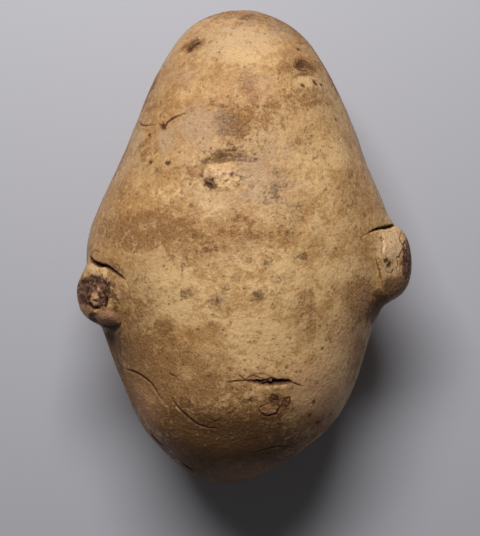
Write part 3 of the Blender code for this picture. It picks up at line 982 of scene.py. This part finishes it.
def bulges() -> list[Bulge]:
    """Return the pushes that round the knobs and lower the chin."""
    return [
        Bulge((37.5, 2.2, 36), 4.0, (0.8, 1.3, 0.0)), Bulge((-39.5, -5.5, 36), 2.6, (0.6, 0.0, 0.0)),
        Bulge((-33.5, -22, 39), 4.0, (1.0, 0.4, -1.2)), Bulge((-3, -50, 41), 11.0, (0.0, 0.0, -2.2)),
        Bulge((-32, -29, 41), 11.0, (0.0, 0.0, -1.8)),
    ]


def clear_pores() -> Pores:
    """Return the pores, with the clearest ones of the upper side in their places."""
    return Pores([
        (-17.0, 10.2, 1.1, 0.3), (-14.4, -4.7, 1.1, 0.6), (-4.2, -9.8, 1.3, 0.5), (4.6, 9.8, 1.0, 0.4),
        (9.2, 13.8, 1.0, 0.4), (4.5, -10.0, 1.2, 0.3), (3.6, -6.1, 1.0, 0.5), (8.7, -7.0, 1.1, 0.3),
        (7.8, -11.6, 1.0, 0.2), (2.5, -11.4, 1.0, 0.5), (6.2, 2.4, 1.2, 0.4), (12.6, 6.0, 1.3, 0.3),
        (5.6, 14.6, 1.1, 0.4), (-11.6, 2.0, 1.2, 0.4), (-2.0, 6.0, 1.2, 0.3), (0.8, -3.6, 1.2, 0.4),
        (13.6, -2.6, 1.4, 0.3), (10.3, 1.1, 1.2, 0.3), (-6.0, 55.0, 1.1, 0.2), (6.0, 53.6, 1.0, 0.4),
    ])


# ---- Finishes ----


@dataclass(frozen=True)
class Grain:
    """A noise texture: its scale per millimetre, its detail, roughness and distortion."""

    scale: float
    detail: float
    rough: float
    twist: float = 0.0


@dataclass(frozen=True)
class Band:
    """A smooth step from start to end, as a value goes from low to high."""

    low: float
    high: float
    start: float = 0.0
    end: float = 1.0


@dataclass
class NodeBench:
    """A node tree with short ways to add to it. Its textures lie in the object's millimetres."""

    tree: bpy.types.NodeTree
    place: Socket = field(init=False)

    def __post_init__(self) -> None:
        """Scale the object's coordinates to millimetres."""
        scale = self.add("ShaderNodeVectorMath", operation="SCALE")
        self.wire(self.add("ShaderNodeTexCoord").outputs["Object"], scale.inputs[0])
        scale.inputs["Scale"].default_value = 1 / MM
        self.place = scale.outputs[0]

    def add(self, kind: str, **settings: object) -> bpy.types.Node:
        """Add a node and set its properties."""
        node = self.tree.nodes.new(kind)
        for name, value in settings.items():
            setattr(node, name, value)
        return node

    def wire(self, value: Value, socket: Socket) -> None:
        """Link a socket to this one, or set its value."""
        if isinstance(value, Socket):
            self.tree.links.new(value, socket)
        elif isinstance(value, tuple):
            socket.default_value = (*value, 1.0)
        else:
            socket.default_value = value

    def math(self, operation: str, *values: Value) -> Socket:
        """Return a value worked out of these, two at a time from the first on."""
        result = values[0]
        for value in values[1:]:
            node = self.add("ShaderNodeMath", operation=operation)
            self.wire(result, node.inputs[0])
            self.wire(value, node.inputs[1])
            result = node.outputs[0]
        return result

    def plus(self, *values: Value) -> Socket:
        """Return the values' sum."""
        return self.math("ADD", *values)

    def times(self, *values: Value) -> Socket:
        """Return the values' product."""
        return self.math("MULTIPLY", *values)

    def most(self, *values: Value) -> Socket:
        """Return the largest of the values."""
        return self.math("MAXIMUM", *values)

    def minus(self, first: Value, second: Value) -> Socket:
        """Return the difference of two values."""
        return self.math("SUBTRACT", first, second)

    def ramp(self, value: Socket, band: Band) -> Socket:
        """Return the value carried over a smooth step."""
        node = self.add("ShaderNodeMapRange", interpolation_type="SMOOTHSTEP")
        for number, given in enumerate((value, band.low, band.high, band.start, band.end)):
            self.wire(given, node.inputs[number])
        return node.outputs["Result"]

    def mix(self, share: Socket, under: Value, over: Value) -> Socket:
        """Return a colour mixed of two."""
        node = self.add("ShaderNodeMix", data_type="RGBA")
        for value, name in ((share, "Factor_Float"), (under, "A_Color"), (over, "B_Color")):
            self.wire(value, next(socket for socket in node.inputs if socket.identifier == name))
        return next(socket for socket in node.outputs if socket.identifier == "Result_Color")

    def noise(self, grain: Grain) -> Socket:
        """Return a noise texture's value."""
        node = self.add("ShaderNodeTexNoise")
        self.wire(self.place, node.inputs["Vector"])
        node.inputs["Scale"].default_value = grain.scale
        node.inputs["Detail"].default_value = grain.detail
        node.inputs["Roughness"].default_value = grain.rough
        node.inputs["Distortion"].default_value = grain.twist
        return node.outputs["Fac"]

    def cells(self, kind: str, scale: float) -> bpy.types.Node:
        """Return a texture of cells, with this many along a millimetre."""
        node = self.add("ShaderNodeTexVoronoi", feature=kind)
        self.wire(self.place, node.inputs["Vector"])
        node.inputs["Scale"].default_value = scale
        return node

    def attribute(self, name: str, output: str = "Fac") -> Socket:
        """Return one of the mesh's own attributes."""
        return self.add("ShaderNodeAttribute", attribute_name=name).outputs[output]


@dataclass(frozen=True)
class SkinFinish:
    """The potato's skin: tan, blotched, netted and pored, with its cork, film and soil, and with painted
    shade and painted light in places.
    """

    tan: Colour = (0.470, 0.248, 0.089)
    straw: Colour = (0.555, 0.334, 0.148)
    pale: Colour = (0.71, 0.452, 0.208)
    # Bare skin's colour, used also as painted light on the right knob and the middle eye.
    bare: Colour = (0.70, 0.44, 0.235)
    # The colour of painted glints.
    gleam: Colour = (0.84, 0.60, 0.38)
    brown: Colour = (0.285, 0.127, 0.038)
    # Dark brown, also painted shade under the knobs, along the brow and over the chin.
    umber: Colour = (0.120, 0.056, 0.020)
    lilac: Colour = (0.52, 0.340, 0.210)
    rose: Colour = (0.56, 0.285, 0.170)
    net: Colour = (0.100, 0.042, 0.013)
    # The cracks' rim and core: soil, and painted shade deep in them.
    rust: Colour = (0.100, 0.036, 0.017)
    dirt_and_shade: Colour = (0.018, 0.007, 0.003)
    cork: Colour = (0.052, 0.017, 0.009)
    cork_light: Colour = (0.30, 0.155, 0.092)
    flesh: Colour = (0.62, 0.33, 0.17)

    edge_grain: Grain = Grain(0.32, 6.0, 0.66, 0.6)
    crumb_grain: Grain = Grain(1.3, 4.0, 0.72)
    tone_grain: Grain = Grain(0.07, 4.0, 0.6)
    cloud_grain: Grain = Grain(0.22, 5.0, 0.68, 0.8)
    mottle_grain: Grain = Grain(0.62, 5.0, 0.68, 0.4)
    fine_grain: Grain = Grain(2.0, 3.0, 0.75)
    flake_grain: Grain = Grain(1.0, 5.0, 0.78, 0.3)
    bark_grain: Grain = Grain(1.1, 5.0, 0.7)
    polish_grain: Grain = Grain(0.5, 5.0, 0.62)
    relief_grain: Grain = Grain(0.9, 4.0, 0.62)
    speck_cells: float = 0.62
    pebble_cells: float = 1.15

    tone: Band = Band(0.42, 0.60)
    clouds: Band = Band(0.50, 0.66, 0.0, 0.45)
    mottle_dark: Band = Band(0.53, 0.63, 0.0, 0.50)
    mottle_light: Band = Band(0.46, 0.38, 0.0, 0.50)
    grains: Band = Band(0.50, 0.64)
    flakes: Band = Band(0.50, 0.62)
    light_grains: Band = Band(0.48, 0.34, 0.0, 0.38)
    gleam_grains: Band = Band(0.52, 0.36)
    roughness: Band = Band(0.0, 1.2, 0.38, 0.66)
    polish: Band = Band(0.3, 0.7, -0.07, 0.09)
    specular: float = 0.24

    def material(self) -> bpy.types.Material:
        """Return the skin's material."""
        material = bpy.data.materials.new("potato_skin_grown")
        material.use_nodes = True
        shader = material.node_tree.nodes["Principled BSDF"]
        SkinNodes(self, NodeBench(material.node_tree)).dress(shader)
        return material


class SkinNodes:
    """The skin's nodes: the masks that its colour, its roughness and its relief share, and those three."""

    def __init__(self, finish: SkinFinish, bench: NodeBench) -> None:
        """Make the shared masks.

        Args:
            finish: the skin's colours, grains and bands.
            bench: the material's node tree.
        """
        self.finish = finish
        self.bench = bench
        self.tint = {item: bench.attribute(item.value) for item in Tint}
        self.ragged = bench.minus(bench.noise(finish.edge_grain), 0.5)
        self.crumbs = bench.minus(bench.noise(finish.crumb_grain), 0.5)
        self.mottle = bench.noise(finish.mottle_grain)
        self.grain = bench.noise(finish.fine_grain)
        self.bark = bench.noise(finish.bark_grain)
        # The russet and umber masks also carry painted shade under the knobs, along the brow and over the
        # chin.
        self.russet = self.worn(Tint.RUSSET)
        self.lilac = self.worn(Tint.LILAC)
        self.umber = self.worn(Tint.UMBER, 2.0, 2.4)
        self.ring, self.core = self.pores()
        self.speck = self.specks()
        self.corky = self.cork_mask()

    def worn(self, item: Tint, broad: float = 2.6, fine: float = 1.3) -> Socket:
        """Return a tint's mask with its edge broken up, by so much of each grain."""
        bench = self.bench
        edge = bench.plus(bench.times(self.ragged, broad), bench.times(self.crumbs, fine))
        edge = bench.times(edge, bench.ramp(self.tint[item], Band(0.0, 0.3)))
        return bench.ramp(bench.plus(self.tint[item], edge), Band(0.12, 0.80))

    def pores(self) -> tuple[Socket, Socket]:
        """Return the masks of the pores' rings and of their cores."""
        bench = self.bench
        length = bench.add("ShaderNodeVectorMath", operation="LENGTH")
        bench.wire(bench.attribute(PORE, "Vector"), length.inputs[0])
        wavy = bench.plus(length.outputs["Value"], bench.times(self.crumbs, 2.2))
        near = self.tint[Tint.PORE_NEAR]
        ring = bench.times(
            bench.ramp(wavy, Band(0.5, 0.95)),
            bench.ramp(wavy, Band(0.95, 1.45, 1.0, 0.0)),
            bench.ramp(self.mottle, Band(0.42, 0.56, 0.25, 1.0)),
            near,
        )
        core = bench.times(bench.ramp(wavy, Band(0.5, 1.15, 1.0, 0.0)), near, self.tint[Tint.PORE_FILL])
        return ring, core

    def specks(self) -> Socket:
        """Return the mask of the small dark specks, one in some of the cells."""
        bench = self.bench
        cells = bench.cells("F1", self.finish.speck_cells)
        span = bench.plus(cells.outputs["Distance"], bench.times(self.crumbs, 0.5))
        chosen = bench.add("ShaderNodeSeparateColor")
        bench.wire(cells.outputs["Color"], chosen.inputs[0])
        some = bench.ramp(chosen.outputs[0], Band(0.50, 0.85))
        return bench.times(bench.ramp(span, Band(0.10, 0.24, 1.0, 0.0)), some)

    def cork_mask(self) -> Socket:
        """Return the mask of the corky skin."""
        bench = self.bench
        cork = self.tint[Tint.CORK]
        edge = bench.plus(bench.times(self.crumbs, 1.2), bench.times(self.ragged, 1.2))
        corky = bench.ramp(bench.plus(cork, edge), Band(0.35, 0.65))
        return bench.times(corky, bench.ramp(cork, Band(0.0, 0.1)))

    def ground_colour(self) -> Socket:
        """Return tan and straw skin, clouded and mottled."""
        bench, finish = self.bench, self.finish
        colour = bench.mix(bench.ramp(bench.noise(finish.tone_grain), finish.tone), finish.tan, finish.straw)
        clouds = bench.ramp(bench.noise(finish.cloud_grain), finish.clouds)
        colour = bench.mix(clouds, colour, finish.brown)
        # The pale patches include painted light on the knobs and the middle eye.
        colour = bench.mix(self.worn(Tint.PALE), colour, finish.pale)
        colour = bench.mix(bench.ramp(self.mottle, finish.mottle_dark), colour, finish.brown)
        return bench.mix(bench.ramp(self.mottle, finish.mottle_light), colour, finish.pale)

    def layered(self, colour: Socket, *layers: tuple[Socket, float, Colour]) -> Socket:
        """Return the colour under these layers, each with its mask, its share and its own colour."""
        for mask, share, over in layers:
            colour = self.bench.mix(self.bench.times(mask, share), colour, over)
        return colour

    def blotched(self, colour: Socket) -> Socket:
        """Return the colour with the patches over it."""
        finish = self.finish
        # The russet and umber layers also carry painted shade, and the bare layer painted light.
        return self.layered(
            colour,
            (self.russet, 0.80, finish.brown),
            (self.lilac, 0.62, finish.lilac),
            (self.umber, 0.78, finish.umber),
            (self.worn(Tint.ROSE, 0.8, 0.4), 0.75, finish.rose),
            (self.worn(Tint.BARE, 0.8, 0.6), 0.85, finish.bare),
        )

    def netted(self, colour: Socket) -> Socket:
        """Return the colour with dark netting over it, light grains between, and painted glints on the bare
        and lit skin.
        """
        bench, finish = self.bench, self.finish
        flakes = bench.ramp(bench.noise(finish.flake_grain), finish.flakes)
        netting = bench.most(bench.ramp(self.grain, finish.grains), flakes)
        netting = bench.times(netting, bench.ramp(self.russet, Band(0.0, 1.0, 0.14, 0.42)))
        colour = bench.mix(netting, colour, finish.net)
        shade = bench.most(bench.times(self.russet, 0.60), bench.times(self.umber, 0.85))
        light = bench.times(bench.ramp(self.grain, finish.light_grains), bench.minus(1.0, shade))
        colour = bench.mix(light, colour, finish.pale)
        # Painted glints: bright grains where the skin is bare and lit.
        bare = bench.ramp(self.tint[Tint.BARE], Band(0.1, 0.7, 0.0, 0.7))
        gleams = bench.times(bench.ramp(self.grain, finish.gleam_grains), bare)
        return bench.mix(gleams, colour, finish.gleam)

    def pored(self, colour: Socket) -> Socket:
        """Return the colour with the pores and the specks over it."""
        finish = self.finish
        return self.layered(
            colour,
            (self.ring, 0.50, finish.net),
            (self.core, 0.55, finish.umber),
            (self.speck, 0.56, finish.net),
        )

    def scarred(self, colour: Socket) -> Socket:
        """Return the colour with the cork, the torn flesh and the cracks over it."""
        bench, finish = self.bench, self.finish
        bark = bench.mix(bench.ramp(self.bark, Band(0.42, 0.66)), finish.cork, finish.cork_light)
        colour = bench.mix(self.corky, colour, bark)
        torn = bench.ramp(bench.plus(self.tint[Tint.FLESH], bench.times(self.crumbs, 0.9)), Band(0.3, 0.7))
        flesh = bench.mix(bench.ramp(self.bark, Band(0.40, 0.62)), finish.cork_light, finish.flesh)
        colour = bench.mix(torn, colour, flesh)
        # The cracks darken to rust and then near-black: soil, and painted shade in their depth.
        crack = self.tint[Tint.CRACK]
        colour = bench.mix(bench.ramp(crack, Band(0.05, 0.55, 0.0, 0.92)), colour, finish.rust)
        return bench.mix(bench.ramp(crack, Band(0.45, 1.0)), colour, finish.dirt_and_shade)

    def rough(self) -> Socket:
        """Return the roughness, the higher the more russet, cork or crack there is."""
        bench, finish = self.bench, self.finish
        dull = bench.plus(self.russet, self.corky, self.tint[Tint.CRACK])
        uneven = bench.ramp(bench.noise(finish.polish_grain), finish.polish)
        return bench.plus(bench.ramp(dull, finish.roughness), uneven)

    def relief(self) -> Socket:
        """Return the height of what is too fine for the mesh, in millimetres."""
        bench, finish = self.bench, self.finish
        pebbles = bench.cells("SMOOTH_F1", finish.pebble_cells).outputs["Distance"]
        return bench.plus(
            bench.times(bench.noise(finish.relief_grain), 0.19),
            bench.times(pebbles, -0.10),
            bench.times(self.speck, -0.05),
            bench.times(self.grain, bench.ramp(self.russet, Band(0.0, 1.0, 0.12, 0.22))),
            bench.times(self.grain, self.lilac, 0.12),
            bench.times(self.ring, 0.04),
            bench.times(self.core, -0.05),
            bench.times(self.bark, self.tint[Tint.CORK], 0.5),
        )

    def dress(self, shader: bpy.types.Node) -> None:
        """Wire the colour, the roughness and the relief to the shader."""
        bench = self.bench
        colour = self.scarred(self.pored(self.netted(self.blotched(self.ground_colour()))))
        bench.wire(colour, shader.inputs["Base Color"])
        bench.wire(self.rough(), shader.inputs["Roughness"])
        shader.inputs["Specular IOR Level"].default_value = self.finish.specular
        bump = bench.add("ShaderNodeBump")
        bump.inputs["Strength"].default_value = 1.0
        bump.inputs["Distance"].default_value = MM
        bench.wire(self.relief(), bump.inputs["Height"])
        bench.wire(bump.outputs["Normal"], shader.inputs["Normal"])


# ---- The studio ----


@dataclass
class Studio:
    """A plain pale floor, a soft lamp beyond the crown, a faint fill and the camera overhead."""

    floor_size: float = 3.0
    floor_colour: Colour = (0.462, 0.457, 0.492)
    floor_rough: float = 0.6
    lamp_at: Place = (-0.06, 0.306, 0.448)
    lamp_size: tuple[float, float] = (0.337, 0.122)
    lamp_power: float = 3.06
    fill_colour: Colour = (1.0, 1.0, 1.0)
    fill: float = 0.057
    camera_at: Place = (-0.0012, -0.0054, 0.36)
    lens: float = 87.9
    sensor: float = 36.0
    nearest: float = 0.01

    def build(self) -> None:
        """Set out the floor, the lights and the camera."""
        self.lay_floor()
        self.hang_lamp()
        self.fill_light()
        self.place_camera()

    def lay_floor(self) -> None:
        """Lay the floor that the potato rests on."""
        bm = bmesh.new()
        bmesh.ops.create_grid(bm, x_segments=1, y_segments=1, size=self.floor_size / 2)
        mesh = bpy.data.meshes.new("floor")
        bm.to_mesh(mesh)
        bm.free()
        floor = bpy.data.objects.new("floor", mesh)
        bpy.context.scene.collection.objects.link(floor)
        material = bpy.data.materials.new("pale_table")
        material.use_nodes = True
        shader = material.node_tree.nodes["Principled BSDF"]
        shader.inputs["Base Color"].default_value = (*self.floor_colour, 1.0)
        shader.inputs["Roughness"].default_value = self.floor_rough
        mesh.materials.append(material)

    def hang_lamp(self) -> None:
        """Hang the key lamp beyond the crown and point it at the potato."""
        lamp = bpy.data.lights.new("key", "AREA")
        lamp.shape = "RECTANGLE"
        lamp.size, lamp.size_y = self.lamp_size
        lamp.energy = self.lamp_power
        key = bpy.data.objects.new("key", lamp)
        key.location = self.lamp_at
        key.rotation_euler = Vector(self.lamp_at).to_track_quat("Z", "Y").to_euler()
        bpy.context.scene.collection.objects.link(key)

    def fill_light(self) -> None:
        """Light the world faintly and evenly."""
        world = bpy.data.worlds.new("fill")
        world.use_nodes = True
        back = world.node_tree.nodes["Background"]
        back.inputs["Color"].default_value = (*self.fill_colour, 1.0)
        back.inputs["Strength"].default_value = self.fill
        bpy.context.scene.world = world

    def place_camera(self) -> None:
        """Look straight down, with the crown at the top."""
        lens = bpy.data.cameras.new("camera")
        lens.lens = self.lens
        lens.sensor_width = self.sensor
        lens.clip_start = self.nearest
        camera = bpy.data.objects.new("camera", lens)
        camera.location = self.camera_at
        bpy.context.scene.collection.objects.link(camera)
        bpy.context.scene.camera = camera
        bpy.context.scene.view_settings.view_transform = "Standard"


def main() -> None:
    """Build the potato and its studio."""
    logging.basicConfig(level=logging.INFO, format="%(name)s: %(message)s")
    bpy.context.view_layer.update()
    marks = blotches() + hidden_marks() + crown_marks() + middle_marks() + chin_marks() + knob_marks()
    potato = Tuber(marks, bulges(), clear_pores()).build(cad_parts[NODE])
    potato.data.materials.append(SkinFinish().material())
    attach(potato, BODY)
    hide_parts(NODE)
    potato.data.calc_loop_triangles()
    log.info("%s: %d triangles", potato.name, len(potato.data.loop_triangles))
    Studio().build()


if __name__ == "__main__":
    main()
